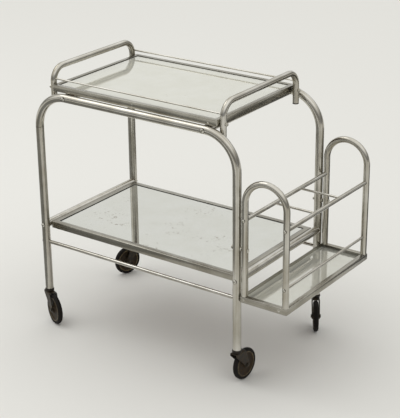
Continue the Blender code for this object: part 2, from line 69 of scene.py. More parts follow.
# %% A grid of points becomes a shell
def grid(points, wrap_rows=False, wrap_columns=False, metal=None):
    """Points, quads and places in the metal of a (rows, columns, 3) grid. Wrapping joins last to first."""
    rows, columns = points.shape[:2]
    index = np.arange(rows * columns).reshape(rows, columns)
    if wrap_rows:
        index = np.vstack([index, index[:1]])
    if wrap_columns:
        index = np.hstack([index, index[:, :1]])
    quads = np.stack([index[:-1, :-1], index[1:, :-1], index[1:, 1:], index[:-1, 1:]], axis=-1)
    metal = points if metal is None else metal
    return points.reshape(-1, 3), quads.reshape(-1, 4), metal.reshape(-1, 3)


def capped(points):
    """The grid with its first and last rows closed: each gets one more row, shrunk to the row's middle."""
    first = np.broadcast_to(points[:1].mean(axis=1, keepdims=True), points[:1].shape)
    last = np.broadcast_to(points[-1:].mean(axis=1, keepdims=True), points[-1:].shape)
    return np.concatenate([first, points, last])


# %% [markdown]
# A finished piece may hold several shells, such as a row of screw heads. `make_piece` stacks them in one
# mesh, merges the doubled points at poles and caps, and turns the faces outward. It also says which body
# the piece moves with and which solids it stands for.


# %% Shells become a piece
SHARP_DEG = 40  # a fold sharper than this stays a hard edge
MERGE = 2e-6  # metres between points that are one point


def make_piece(name, shells, finish, body, stands_for=()):
    """One object from a list of (points, quads, metal) shells, riding on a body of the cart."""
    starts = np.cumsum([0] + [len(shell[0]) for shell in shells[:-1]])
    points = np.concatenate([shell[0] for shell in shells])
    quads = np.concatenate([shell[1] + start for shell, start in zip(shells, starts)])
    metal = np.concatenate([shell[2] for shell in shells])
    mesh = bpy.data.meshes.new(name)
    mesh.vertices.add(len(points))
    mesh.vertices.foreach_set("co", points.astype(np.float32).ravel())
    mesh.loops.add(quads.size)
    mesh.loops.foreach_set("vertex_index", quads.astype(np.int32).ravel())
    mesh.polygons.add(len(quads))
    mesh.polygons.foreach_set("loop_start", np.arange(0, quads.size, 4, dtype=np.int32))
    mesh.update(calc_edges=True)
    grain = mesh.attributes.new("metal", "FLOAT_VECTOR", "POINT")
    grain.data.foreach_set("vector", metal.astype(np.float32).ravel())
    surface = bmesh.new()
    surface.from_mesh(mesh)
    bmesh.ops.remove_doubles(surface, verts=surface.verts, dist=MERGE)
    bmesh.ops.dissolve_degenerate(surface, dist=MERGE / 2, edges=surface.edges)
    bmesh.ops.recalc_face_normals(surface, faces=surface.faces)
    surface.to_mesh(mesh)
    surface.free()
    mesh.shade_smooth()
    mesh.set_sharp_from_angle(angle=math.radians(SHARP_DEG))
    mesh.materials.append(finish)
    made = bpy.data.objects.new(name, mesh)
    bpy.context.scene.collection.objects.link(made)
    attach(made, body)
    if stands_for:
        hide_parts(*stands_for)
    return made


# %% [markdown]
# ## Places
#
# The frame gives each solid's box, so a tube's axis is the middle of its box and no place is typed twice.


# %% Boxes and middles
def low(node):
    """A node's lowest corner."""
    return np.array(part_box(node)[0])


def high(node):
    """A node's highest corner."""
    return np.array(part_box(node)[1])


def middle(node):
    """The centre of a node's box."""
    return (low(node) + high(node)) / 2


MM = 0.001
X, Y, Z = np.eye(3)
SIDES = ("near", "far")
ENDS = ("left", "right")
frame_r = (high("side_frame_near")[1] - low("side_frame_near")[1]) / 2
arm_r = (high("tray_handle_left")[0] - low("tray_handle_left")[0]) / 2
leg_x = {"left": low("side_frame_near")[0] + frame_r, "right": high("side_frame_near")[0] - frame_r}
side_y = {side: middle(f"side_frame_{side}")[1] for side in SIDES}
print("tube radii in mm:", round(frame_r / MM, 2), round(arm_r / MM, 2))

# %% [markdown]
# ## Colour and nodes
#
# Colours are chosen as they look on a screen, in hex, and shaders want linear light, so one function
# turns one into the other. A second adds a node with its settings and its links in one line. Pattern
# scales are real sizes: a noise whose features are `size` millimetres wide has a scale of 1000 / size.


# %% Colour, nodes and pattern scale
def linear(hex_colour):
    """sRGB hex to linear RGBA: a channel c becomes ((c + 0.055) / 1.055) ** 2.4, or c / 12.92 when dark."""
    channels = np.array([int(hex_colour[at:at + 2], 16) / 255 for at in (1, 3, 5)])
    light = np.where(channels > 0.04045, ((channels + 0.055) / 1.055) ** 2.4, channels / 12.92)
    return (*(float(value) for value in light), 1.0)


def add(tree, kind, settings=None, links=None):
    """A node of that kind. Settings are socket or property values, and links are (node, output) pairs."""
    made = tree.nodes.new(kind)
    for key, value in (settings or {}).items():
        if isinstance(key, str) and hasattr(made, key):
            setattr(made, key, value)
        else:
            made.inputs[key].default_value = value
    for key, (source, output) in (links or {}).items():
        tree.links.new(source.outputs[output], made.inputs[key])
    return made


def weighted_sum(tree, first, weight, second):
    """A Math node that gives first * weight + second, where both are (node, output) pairs."""
    return add(tree, "ShaderNodeMath", {"operation": "MULTIPLY_ADD", 1: weight}, {0: first, 2: second})


def per_mm(size):
    """The scale of a pattern whose features are that many millimetres wide."""
    return 1000.0 / size


def start_material(name, colour, roughness, metallic=0.0):
    """A named material: its tree, its Principled shader and its Object coordinates."""
    made = bpy.data.materials.new(name)
    made.use_nodes = True
    tree = made.node_tree
    shader = tree.nodes["Principled BSDF"]
    shader.inputs["Base Color"].default_value = linear(colour)
    shader.inputs["Roughness"].default_value = roughness
    shader.inputs["Metallic"].default_value = metallic
    return made, tree, shader, add(tree, "ShaderNodeTexCoord")


def blend_colours(tree, first, second, factor):
    """A Mix node between two colours, by a (node, output) factor."""
    settings = {"data_type": "RGBA", 6: linear(first), 7: linear(second)}
    return add(tree, "ShaderNodeMix", settings, {0: factor})


def spread(tree, source, low_in, high_in, low_out, high_out):
    """A Map Range node that stretches part of a pattern's range to new limits."""
    settings = {1: low_in, 2: high_in, 3: low_out, 4: high_out}
    return add(tree, "ShaderNodeMapRange", settings, {0: source})


# %% [markdown]
# ## Polished aluminium tube
#
# The tubes were drawn, bent and polished, and then handled for decades. What is left is a satin metal:
# fine streaks run along the tube from drawing and polishing, and a cloudy warm grey oxide dulls it in
# patches. The streaks are a noise on the place in the metal, stretched eighty times along the piece, so
# they follow each bend. They are really a tenth of a millimetre wide, too fine to show, so they are
# drawn 1.2 mm wide.


# %% Polished aluminium
TARNISH_MEAN = 1.125  # of the three noises together, each of which has a mean of 0.5


def polished_aluminium(name, bright, dull, rough):
    """Aluminium with a lengthwise grain: long streaks of 1.2 and 4.5 mm, and clouds of 60 mm that dull it."""
    made, tree, shader, place = start_material(name, bright, rough[0], metallic=1.0)
    metal = add(tree, "ShaderNodeAttribute", {"attribute_name": "metal"})
    stretched = add(tree, "ShaderNodeMapping", {"Scale": (1.0, 1.0, 0.012)}, {"Vector": (metal, "Vector")})
    along = {"Vector": (stretched, "Vector")}
    grain = add(tree, "ShaderNodeTexNoise", {"Scale": per_mm(1.2), "Detail": 2.0}, along)
    bands = add(tree, "ShaderNodeTexNoise", {"Scale": per_mm(4.5), "Detail": 2.0}, along)
    clouds = add(tree, "ShaderNodeTexNoise", {"Scale": per_mm(60), "Detail": 3.0, "Roughness": 0.5},
                 {"Vector": (place, "Object")})
    streaks = weighted_sum(tree, (grain, 0), 0.35, (bands, 0))
    tarnish = weighted_sum(tree, (clouds, 0), 0.9, (streaks, 0))
    amount = spread(tree, (tarnish, 0), TARNISH_MEAN - 0.42, TARNISH_MEAN + 0.42, 0.0, 1.0)
    colour = blend_colours(tree, bright, dull, (amount, 0))
    rougher = spread(tree, (amount, 0), 0.0, 1.0, *rough)
    relief = add(tree, "ShaderNodeBump", {"Strength": 0.06, "Distance": 0.05 * MM}, {"Height": (grain, 0)})
    tree.links.new(colour.outputs[2], shader.inputs["Base Color"])
    tree.links.new(rougher.outputs[0], shader.inputs["Roughness"])
    tree.links.new(relief.outputs[0], shader.inputs["Normal"])
    return made


tube_metal = polished_aluminium("polished aluminium tube", "#DBD9D3", "#8F8877", rough=(0.10, 0.25))
rim_metal = polished_aluminium("brushed aluminium rim", "#B4B2A9", "#7D776A", rough=(0.17, 0.32))
print("metals:", tube_metal.name, "and", rim_metal.name)

# %% [markdown]
# ## Silvered glass
#
# The three mirrors are sheet glass silvered on the back. The shelf's still reflects sharply. The tray's and
# the bottle floor's have been wiped for decades, and their haze scatters half of the light, so they look
# pale cream with a soft reflection on top. Damp has crept in: small brown spots where the silver has gone.
# A shader that is part metal and part matt gives both, and two noises bring the spots in groups. The
# damp's real spots are 1 to 3 mm wide, too fine to show, so they are drawn a few times wider.


# %% Silvered glass
def silvered_glass(name, clear, dusty, reflects, spotted):
    """A mirror: spots of 9 mm appear only where a broad 120 mm noise is high, so they come in groups."""
    made, tree, shader, place = start_material(name, clear, 0.04, metallic=reflects)
    where = {"Vector": (place, "Object")}
    groups = add(tree, "ShaderNodeTexNoise", {"Scale": per_mm(120), "Detail": 2.0}, where)
    spots = add(tree, "ShaderNodeTexNoise", {"Scale": per_mm(9), "Detail": 6.0, "Roughness": 0.68}, where)
    haze = add(tree, "ShaderNodeTexNoise", {"Scale": per_mm(55), "Detail": 6.0, "Roughness": 0.6}, where)
    grouped = weighted_sum(tree, (groups, 0), 0.55, (spots, 0))
    gone = spread(tree, (grouped, 0), spotted, spotted + 0.06, 0.0, 0.85)
    glass = blend_colours(tree, clear, dusty, (haze, 0))
    brown = {"data_type": "RGBA", 7: linear("#7E725F")}
    colour = add(tree, "ShaderNodeMix", brown, {0: (gone, 0), 6: (glass, 2)})
    wiped = spread(tree, (haze, 0), 0.42, 0.70, 0.01, 0.11 - 0.08 * reflects)
    rougher = weighted_sum(tree, (gone, 0), 0.35, (wiped, 0))
    tree.links.new(colour.outputs[2], shader.inputs["Base Color"])
    tree.links.new(rougher.outputs[0], shader.inputs["Roughness"])
    return made


clear_mirror = silvered_glass("silvered glass", "#E5E6E1", "#D9D9D0", reflects=0.92, spotted=0.93)
hazy_mirror = silvered_glass("wiped silvered glass", "#E2E2DB", "#D2D1C4", reflects=0.5, spotted=1.0)
print("mirrors:", clear_mirror.name, "and", hazy_mirror.name)

# %% [markdown]
# ## The small materials
#
# The crisp dark line along the mirrors' edges is painted shadow: a near-black bead stands where the rim's
# flange shades the gap over the mirror. The boards behind them are pressed brown hardboard. Screws are dull
# zinc, the casters are lacquered pressed steel with black rubber tyres, and the handles end in black plugs.
# Each has its own grain, dust or wear, so none is a flat colour.


# %% Painted shadow line, board, screws, casters
def mottled(name, base, second, roughness, size_mm, metallic=0.0, bump=0.1, lean=(0.4, 0.65), shine=0.5):
    """A finish that wanders between two colours over a noise of the given size, with a little relief."""
    made, tree, shader, place = start_material(name, base, roughness, metallic)
    pattern = add(tree, "ShaderNodeTexNoise", {"Scale": per_mm(size_mm), "Detail": 6.0, "Roughness": 0.65},
                  {"Vector": (place, "Object")})
    amount = spread(tree, (pattern, 0), *lean, 0.0, 1.0)
    colour = blend_colours(tree, base, second, (amount, 0))
    rougher = spread(tree, (amount, 0), 0.0, 1.0, roughness * 0.85, min(1.0, roughness * 1.3))
    relief = add(tree, "ShaderNodeBump", {"Strength": bump, "Distance": 0.1 * MM}, {"Height": (pattern, 0)})
    tree.links.new(colour.outputs[2], shader.inputs["Base Color"])
    tree.links.new(rougher.outputs[0], shader.inputs["Roughness"])
    tree.links.new(relief.outputs[0], shader.inputs["Normal"])
    shader.inputs["Specular IOR Level"].default_value = shine
    return made


# Painted shadow: a near-black finish for the bead that stands for the shade in the gap between rim and
# mirror.
shadow_line_black = mottled("painted shadow line black", "#14130F", "#2A2822", 0.62, 2.0)
hardboard = mottled("pressed hardboard", "#6A4C30", "#553A23", 0.80, 1.5, bump=0.3)
dull_zinc = mottled("dull zinc plated steel", "#DAD8D0", "#A9A496", 0.24, 2.5, metallic=1.0)
axle_steel = mottled("greased dark steel", "#4A443A", "#211D17", 0.42, 2.5, metallic=0.8)
black_plug = mottled("moulded black plastic", "#141312", "#24221F", 0.45, 4.0)
blackened_steel = mottled("blackened steel", "#15110D", "#30261A", 0.42, 3.0, bump=0.2, shine=0.3)
lacquered_steel = mottled("brown lacquered steel", "#16110C", "#3E321F", 0.42, 9.0, shine=0.35)
wheel_disc = mottled("brown moulded wheel disc", "#1F160D", "#3D2F1B", 0.55, 6.0, shine=0.25)
wheel_ring = mottled("worn steel wheel ring", "#6E6148", "#3A301F", 0.40, 5.0, metallic=0.6)
tyre_rubber = mottled("black rubber", "#0D0A08", "#1C1713", 0.66, 7.0, bump=0.15, shine=0.2)
print("finishes so far:", [made.name for made in bpy.data.materials])

# %% [markdown]
# ## Tubes
#
# A tube is a circle carried along a line. For a hoop the line is a leg, a quarter bend, a bar, another
# quarter bend and the second leg, all in one plane, so the plane's normal is one axis of every circle and
# the tube never twists. The same two functions give the side frames, the handles and the bottle arches.


# %% A circle carried along a line
def tube(path, radius, side, around=32):
    """Point = path + radius * (cos a * normal + sin a * side), where normal = side x tangent."""
    tangent = np.gradient(path, axis=0)
    tangent /= np.linalg.norm(tangent, axis=1, keepdims=True)
    normal = np.cross(side, tangent)
    angle = np.linspace(0, math.tau, around, endpoint=False)[None, :, None]
    ring = np.cos(angle) * normal[:, None] + np.sin(angle) * np.asarray(side)
    steps = np.linalg.norm(np.diff(path, axis=0), axis=1)
    along = np.concatenate([[0], np.cumsum(steps)])[:, None, None] + 0 * angle
    metal = np.concatenate([radius * np.cos(angle) + 0 * along, radius * np.sin(angle) + 0 * along, along],
                           axis=2)
    return grid(capped(path[:, None] + radius * ring), wrap_columns=True, metal=capped(metal))


def hoop(foot_a, foot_b, top, bend, steps=18):
    """A leg up from each foot and a bar between them at a height, with quarter bends of that radius."""
    foot_a, foot_b = np.asarray(foot_a, float), np.asarray(foot_b, float)
    across = (foot_b - foot_a) / np.linalg.norm(foot_b - foot_a)
    turn = np.linspace(0, math.pi / 2, steps)[:, None]
    rise = np.array([0, 0, top - bend])
    level = np.array([1, 1, 0])
    start = foot_a * level + rise + bend * (across * (1 - np.cos(turn)) + Z * np.sin(turn))
    finish = foot_b * level + rise - bend * (across * (1 - np.cos(turn[::-1])) - Z * np.sin(turn[::-1]))
    skip = 1 if np.linalg.norm(start[-1] - finish[0]) < 1e-6 else 0
    return np.concatenate([foot_a[None], start, finish[skip:], foot_b[None]])


def rod(start, end, radius, around=24):
    """A straight round bar between two points."""
    path = np.linspace(start, end, 3)
    side = Z if abs(path[1] - path[0])[2] < 1e-6 else X
    return tube(path, radius, side, around)


# %% [markdown]
# ## Side frames
#
# Each side of the cart is one tube: leg, top rail and leg, bent on an 84 mm former. It has no joint to
# hide, so one surface is the honest way to make it, and its streaks run on round both bends.


# %% Side frames
RAIL_BEND = 84 * MM
for side in SIDES:
    node = f"side_frame_{side}"
    y = side_y[side]
    foot = low(node)[2]
    path = hoop((leg_x["left"], y, foot), (leg_x["right"], y, foot), high(node)[2] - frame_r, RAIL_BEND)
    make_piece(node + "_tube", [tube(path, frame_r, Y, 40)], tube_metal, "cart", [node])
    print(node, "tube length in mm:", round(np.linalg.norm(np.diff(path, axis=0), axis=1).sum() / MM))

# %% [markdown]
# ## Crossbars, shelf tubes and stretchers
#
# The side frames are held apart by four straight tubes and tied lengthwise by two thin rods. Their ends
# are saddled to fit the round legs. A saddle is a hidden joint, so each bar simply runs to the axis of
# the tube that it meets, and the tube's wall hides the end.


# %% Straight members
def spanning(node, axis, reach):
    """The two ends of a straight member: its box's middle, moved to the given places along an axis."""
    ends = np.array([middle(node), middle(node)])
    ends[:, axis] = reach
    return ends


across = (side_y["near"], side_y["far"])
for end in ENDS:
    for kind in ("top_crossbar", "shelf_cross_tube"):
        node = f"{kind}_{end}"
        bar = rod(*spanning(node, 1, across), frame_r, 40)
        make_piece(node + "_tube", [bar], tube_metal, "cart", [node])
for side in SIDES:
    node = f"low_stretcher_{side}"
    bar = rod(*spanning(node, 0, (leg_x["left"], leg_x["right"])), (high(node)[2] - low(node)[2]) / 2)
    make_piece(node + "_rod", [bar], tube_metal, "cart", [node])

# %% [markdown]
# ## Rims
#
# The tray, the shelf and the bottle floor are held in C-section aluminium, mitred at the corners. A
# section is a list of (inset, height) points, and the rim carries it round a rectangle: each point's inset
# moves it inward from the outer edge. At each corner there are three columns of points: two where the
# corner's small rounding starts and ends, and one between them, sunk 0.15 mm, which is the mitre's seam.


# %% A section carried round a rectangle
SEAM = 0.15 * MM


def quarter(centre, radius, start_deg, end_deg, steps=5):
    """Points on an arc about a centre, as (inset, height) pairs."""
    angle = np.radians(np.linspace(start_deg, end_deg, steps))[:, None]
    return np.asarray(centre) + radius * np.hstack([np.cos(angle), np.sin(angle)])


def c_section(bottom, top, flange, wall, ledge, outer_r):
    """The rim's closed section, from the foot of its web: up the outside, in along the flange and back."""
    lip_r = wall * 0.45
    return np.vstack([
        quarter((0.4 * MM, bottom + 0.4 * MM), 0.4 * MM, 270, 180, 3),
        quarter((outer_r, top - outer_r), outer_r, 180, 90),
        quarter((flange - lip_r, top - lip_r), lip_r, 90, -90, 6),
        [(wall, top - wall), (wall, bottom + wall), (ledge, bottom + wall), (ledge, bottom)],
    ])


def rim(node, section, corner, left_limit=None):
    """The section carried round a node's box. The left rail's inset is limited where it has no flange."""
    inset, height = section.T
    left = inset if left_limit is None else np.minimum(inset, left_limit)
    west, south = low(node)[0] + left, low(node)[1] + inset
    east, north = high(node)[0] - inset, high(node)[1] - inset
    room = np.clip(corner - inset, 0.05 * MM, None)
    columns, metal = [], []
    for x, y, to_x, to_y, first in ((west, south, 1, 1, "y"), (east, south, -1, 1, "x"),
                                    (east, north, -1, -1, "y"), (west, north, 1, -1, "x")):
        off_x = np.stack([x + to_x * room, y, height], axis=1)
        off_y = np.stack([x, y + to_y * room, height], axis=1)
        sunk = 0.29 * room + SEAM / 2
        seam = np.stack([x + to_x * sunk, y + to_y * sunk, height - SEAM], axis=1)
        columns += [off_y, seam, off_x] if first == "y" else [off_x, seam, off_y]
        metal += [np.stack([inset, height, x + y], axis=1)] * 3
    return grid(np.array(columns), wrap_rows=True, wrap_columns=True, metal=np.array(metal))


# %% [markdown]
# The mirror lies just under the rim's flange. The thin dark line all the way round, where the flange shades
# the gap over
# the mirror, is painted shadow: a near-black bead along the flange's edge. It is the same kind of surface,
# with a small round section.


# %% The tray's and the shelf's rims, and the painted shadow line round their mirrors
RIM_WALL = 1.6 * MM


def shadow_line_bead(node, mirror, flange, width):
    """A near-black bead along the flange's edge, painted shadow for the gap over the mirror: half of its
    width shows, and it rises 0.8 mm above the mirror.
    """
    base = high(mirror)[2]
    crown = quarter((flange, 0), width, 0, 180, 7) * (1, 0.8 * MM / width) + (0, base)
    foot = [(flange - width, base - 0.2 * MM), (flange + width, base - 0.2 * MM)]
    return rim(node, np.vstack([crown, foot]), 0.0)


def dress_deck(kind, body, flange, outer_r, ledge, corner, bead):
    """A deck's rim and the near-black bead of painted shadow round its mirror."""
    node = f"{kind}_frame"
    section = c_section(low(node)[2], high(node)[2], flange, RIM_WALL, ledge, outer_r)
    make_piece(f"{kind}_rim", [rim(node, section, corner)], rim_metal, body, [node])
    # The near-black bead round the mirror is painted shadow, not a real part.
    make_piece(f"{kind}_putty", [shadow_line_bead(node, f"{kind}_mirror", flange, bead)], shadow_line_black, body)
    print(node, "section points:", len(section))


dress_deck("tray", "tray", 10.5 * MM, 1.2 * MM, 9 * MM, 2.5 * MM, bead=1.6 * MM)
dress_deck("shelf", "cart", 14 * MM, 2.6 * MM, 10 * MM, 2.0 * MM, bead=2.6 * MM)

# %% [markdown]
# ## Mirrors and boards
#
# The panes and the boards behind them are flat sheets, and their edges are hidden in the rims, so the
# solids themselves are right. They only get their materials.

# %% Mirrors and boards
sheets = {"tray_mirror": hazy_mirror, "shelf_mirror": clear_mirror, "holder_mirror": hazy_mirror,
          "tray_backing": hardboard, "shelf_backing": hardboard, "holder_backing": hardboard}
for node, finish in sheets.items():
    for place in frame["nodes"][node].material_slots:
        place.material = finish
print("sheets:", len(sheets))

# %% [markdown]
# ## The tray's handles and gallery
#
# A 15 mm tube at each end of the tray is both its end stop and its handle. Two thin rods join the
# handles along the sides, to keep glasses on the tray. Black plugs close the handles' lower ends.

# %% Handles, plugs and gallery rods
HANDLE_BEND = 34 * MM
handle_y = {side: middle(f"handle_cap_{side}_left")[1] for side in SIDES}
for end in ENDS:
    node = f"tray_handle_{end}"
    x, foot = middle(node)[0], low(node)[2]
    path = hoop((x, handle_y["near"], foot), (x, handle_y["far"], foot), high(node)[2] - arm_r, HANDLE_BEND)
    make_piece(node + "_tube", [tube(path, arm_r, X, 32)], tube_metal, "tray", [node])
handle_x = {end: middle(f"tray_handle_{end}")[0] for end in ENDS}
for side in SIDES:
    node = f"gallery_rod_{side}"
    reach = (handle_x["left"], handle_x["right"])
    bar = rod(*spanning(node, 0, reach), (high(node)[1] - low(node)[1]) / 2, 20)
    make_piece(node + "_wire", [bar], tube_metal, "tray", [node])
print("handles:", len(ENDS), " gallery rods:", len(SIDES), " grip radius in mm:", round(arm_r / MM, 2))

# %% [markdown]
# ## Turned parts
#
# Plugs, bolts, wheels and tyres are turned: a profile of (radius, height) points goes once round an axis.
# The radius may also swell and shrink with the angle, which gives a nut its flats and a collar its teeth.


# %% A profile turned about an axis
def across_axis(axis):
    """Two unit vectors square to an axis and to each other."""
    axis = np.asarray(axis, float)
    helper = Z if abs(axis[2]) < 0.9 else X
    first = np.cross(helper, axis)
    first /= np.linalg.norm(first)
    return first, np.cross(axis, first)


def turned(profile, centre, axis, around=48, swell=None):
    """Point = centre + h * axis + r * swell(a) * (cos a * first + sin a * second), for each (r, h)."""
    profile = np.asarray(profile, float)
    first, second = across_axis(axis)
    angle = np.linspace(0, math.tau, around, endpoint=False)
    ring = np.cos(angle)[:, None] * first + np.sin(angle)[:, None] * second
    if swell is not None:
        ring = ring * swell(angle)[:, None]
    r, h = profile[:, 0, None, None], profile[:, 1, None, None]
    return grid(np.asarray(centre) + h * np.asarray(axis) + r * ring, wrap_columns=True)


def hexagon(angle):
    """How far a hexagon's edge is at each angle, where its corners are at 1."""
    return math.cos(math.pi / 6) / np.cos((angle + math.pi / 6) % (math.pi / 3) - math.pi / 6)


# %% Plugs in the handles' ends
PLUG_EDGE = 0.8 * MM
for side in SIDES:
    for end in ENDS:
        node = f"handle_cap_{side}_{end}"
        base, foot = low(node)[2], low(f"tray_handle_{end}")[2]
        edge = quarter((arm_r - PLUG_EDGE, base + PLUG_EDGE), PLUG_EDGE, 270, 360)
        profile = np.vstack([[(0, base)], edge, [(arm_r, foot), (arm_r - 2 * MM, foot), (0, foot)]])
        at = middle(node) * (1, 1, 0)
        make_piece(node + "_plug", [turned(profile, at, Z, 32)], black_plug, "tray", [node])

# %% [markdown]
# ## Screw heads
#
# The cart is held together by small round-headed screws with a straight slot. A head is a dome whose
# height is a function of two parameters, the distance from its middle and the angle round it, with the
# slot taken out wherever a point lies within half a slot's width of the middle line.


# %% A slotted screw head
def screw_head(at, out, radius, height, slot_turn=0.0):
    """Height = dome - slot: the dome falls as 1 - 0.8 r^2, and the slot is 0.45 of it deep."""
    out = np.asarray(out, float)
    first, second = across_axis(out)
    share = np.concatenate([np.linspace(0, 0.97, 14), [1.0, 1.0]])
    angle = np.linspace(0, math.tau, 40, endpoint=False) + slot_turn
    r, a = np.meshgrid(share, angle, indexing="ij")
    dome = 1 - 0.8 * r ** 2
    across_slot = np.abs(r * np.sin(a - slot_turn))
    slot = np.clip((0.17 - across_slot) / 0.05, 0, 1) * 0.45
    rise = (dome - slot) * height
    rise[-1] = -0.3 * MM
    flat = np.cos(a)[..., None] * first + np.sin(a)[..., None] * second
    points = np.asarray(at) + radius * r[..., None] * flat + rise[..., None] * out
    return grid(capped(points), wrap_columns=True)


# %% [markdown]
# The long bolts through the top rails, the bolts through the handles, and the bolts that tie the arches
# to the legs are solids of the frame, so their heads and nuts go exactly where the solids have them.

# %% Bolts
SHANK = 2 * MM  # radius of the bolts through the handles
LONG_BOLT_R, LONG_HEAD_R = 3 * MM, 5.5 * MM
for end in ENDS:
    node = f"crossbar_bolt_{end}"
    heads = []
    for out, face in ((-Y, side_y["near"] - frame_r), (Y, side_y["far"] + frame_r)):
        at = middle(node) * (1, 0, 1) + Y * face
        heads.append(screw_head(at, out, LONG_HEAD_R, 2.5 * MM, 0.7))
    shaft = rod(*spanning(node, 1, across), LONG_BOLT_R)
    make_piece(node + "_heads", heads + [shaft], dull_zinc, "cart", [node])
for side in SIDES:
    for end in ENDS:
        node = f"tray_bolt_{side}_{end}"
        out = -X if end == "left" else X
        at = middle(node) * (0, 1, 1) + X * handle_x[end]
        nut = turned([(0, 0), (4.6 * MM, 0), (4.6 * MM, 2.6 * MM), (3.9 * MM, 3 * MM), (0, 3 * MM)],
                     at + out * arm_r, out, 36, hexagon)
        end_line = [(0, 5.5 * MM), (1.5 * MM, 5.5 * MM), (SHANK, 5 * MM), (SHANK, 0), (0, 0)]
        shells = [nut, turned(end_line, at + out * arm_r, out, 24), rod(at, at - out * 10 * MM, SHANK)]
        make_piece(node + "_nut", shells, dull_zinc, "tray", [node])
    node = f"holder_bolt_{side}"
    at = middle(node) * (0, 1, 1)
    leg, post = leg_x["right"], low(f"holder_arch_{side}")[0] + arm_r
    gap = (leg + frame_r, post - arm_r)
    nut = turned([(0, -3.5 * MM), (4.2 * MM, -3.5 * MM), (5 * MM, -3 * MM), (5 * MM, 0), (0, 0)],
                 at + X * (leg - frame_r), X, 36, hexagon)
    sleeve = rod(at + X * gap[0], at + X * gap[1], 4.5 * MM)
    head = screw_head(at + X * (post + arm_r), X, 5 * MM, 2.4 * MM, 0.4)
    shaft = rod(at + X * leg, at + X * post, 2.5 * MM)
    make_piece(node + "_set", [nut, sleeve, head, shaft], dull_zinc, "cart", [node])

# %% [markdown]
# ## The bottle holder
#
# Two arches of 15 mm tube stand on a small mirror-floored rim. Rails join them at the height of a
# bottle's shoulder, and two thin rods part the space into three bays. The rim's outer rails have a
# flange, but its inner rail is a plain thin wall, so its section's inset is limited there.

# %% Arches, rails and dividers
for side in SIDES:
    node = f"holder_arch_{side}"
    post = (low(node)[0] + arm_r, high(node)[0] - arm_r)
    y, foot = side_y[side], low(node)[2]
    path = hoop((post[0], y, foot), (post[1], y, foot), high(node)[2] - arm_r, (post[1] - post[0]) / 2)
    make_piece(node + "_tube", [tube(path, arm_r, Y, 32)], tube_metal, "cart", [node])
for node in ("holder_upper_rail_inner", "holder_upper_rail_outer", "holder_lower_rod"):
    bar = rod(*spanning(node, 1, across), (high(node)[0] - low(node)[0]) / 2)
    make_piece(node + "_bar", [bar], tube_metal, "cart", [node])
for side in SIDES:
    node = f"holder_divider_{side}"
    bar = rod(*spanning(node, 0, post), (high(node)[1] - low(node)[1]) / 2)
    make_piece(node + "_bar", [bar], tube_metal, "cart", [node])

# %% The bottle floor's rim
node = "holder_frame"
section = c_section(low(node)[2], high(node)[2], 12 * MM, RIM_WALL, 9 * MM, 1.4 * MM)
floor_rim = rim(node, section, 1.5 * MM, left_limit=2.2 * MM)
make_piece("holder_rim", [floor_rim], rim_metal, "cart", [node])

# %% [markdown]
# ## Small screws
#
# More screws hold the shelf's tubes, the stretchers, the holder's rails and its rim. They are too many
# and too small to be solids of their own. Each is a place, a direction and a size, on a dark ring that is
# partly grime and partly painted shadow at its base.
# The near left leg also has a dark ring where its bend begins, the mark that the bending tool left.

# %% Small screws
GRIME_SHADOW_RING_SHOWS = 0.7 * MM  # how far the dark ring of grime and painted shadow stands out round its screw


def grime_shadow_ring(at, out, radius):
    """A thin dark disc, partly grime and partly painted shadow at a screw's base, sunk 1.2 mm into the round
    tube so that its rim touches all the way round.
    """
    sunk, edge, face = -1.2 * MM, 0.2 * MM, 0.4 * MM
    line = [(0, sunk), (radius, sunk), (radius, edge), (radius - 0.3 * MM, face), (0, face)]
    return turned(line, at, out, 32)


# Frame screws: 4.6 mm into the shelf's tubes, 4 mm into the stretchers.
near_face, far_face = side_y["near"] - frame_r, side_y["far"] + frame_r
heads, grime_shadow_rings = [], []
for end in ENDS:
    shelf_z, (top_x, _, top_z) = middle(f"shelf_cross_tube_{end}")[2], middle(f"top_crossbar_{end}")
    for face, out, slot_turn in ((near_face, -Y, 0.3), (far_face, Y, 1.9)):
        at = (leg_x[end], face, shelf_z)
        heads.append(screw_head(at, out, 4.6 * MM, 2.8 * MM, slot_turn))
        grime_shadow_rings.append(grime_shadow_ring(at, out, 5.4 * MM))
        grime_shadow_rings.append(grime_shadow_ring((top_x, face, top_z), out, LONG_HEAD_R + 0.8 * MM))
for side in SIDES:
    y, z = side_y[side], middle(f"low_stretcher_{side}")[2]
    for x, out, slot_turn in ((leg_x["left"] - frame_r, -X, 0.9), (leg_x["right"] + frame_r, X, 2.2)):
        heads.append(screw_head((x, y, z), out, 4 * MM, 2.6 * MM, slot_turn))
        grime_shadow_rings.append(grime_shadow_ring((x, y, z), out, 4 * MM + GRIME_SHADOW_RING_SHOWS))
make_piece("frame_screws", heads, dull_zinc, "cart")

# Holder screws: they go through the arches into its rails, and up along its rim.
holder_heads = []
rail_z, rod_z = middle("holder_upper_rail_outer")[2], middle("holder_lower_rod")[2]
rim_z = middle("holder_frame")[2]
for side, out in (("near", -Y), ("far", Y)):
    face = side_y[side] + out[1] * arm_r
    for x, z, size in ((post[0], rail_z, 3.6 * MM), (post[1], rail_z, 3.6 * MM), (post[1], rod_z, 3.2 * MM)):
        holder_heads.append(screw_head((x, face, z), out, size, 2.3 * MM, x * 90))
        grime_shadow_rings.append(grime_shadow_ring((x, face, z), out, size + GRIME_SHADOW_RING_SHOWS))
    for x in (post[0] + 1 * MM, post[1] - 13 * MM):
        holder_heads.append(screw_head((x, face, rim_z), out, 2.8 * MM, 1.3 * MM, x * 70))
make_piece("holder_screws", holder_heads, dull_zinc, "cart")
# Partly grime and partly painted shadow: dark rings round the screws' bases, in the dark axle steel.
make_piece("grime_and_shadow_rings", grime_shadow_rings, axle_steel, "cart")
print("small screws:", len(heads) + len(holder_heads), " washers:", len(grime_shadow_rings))

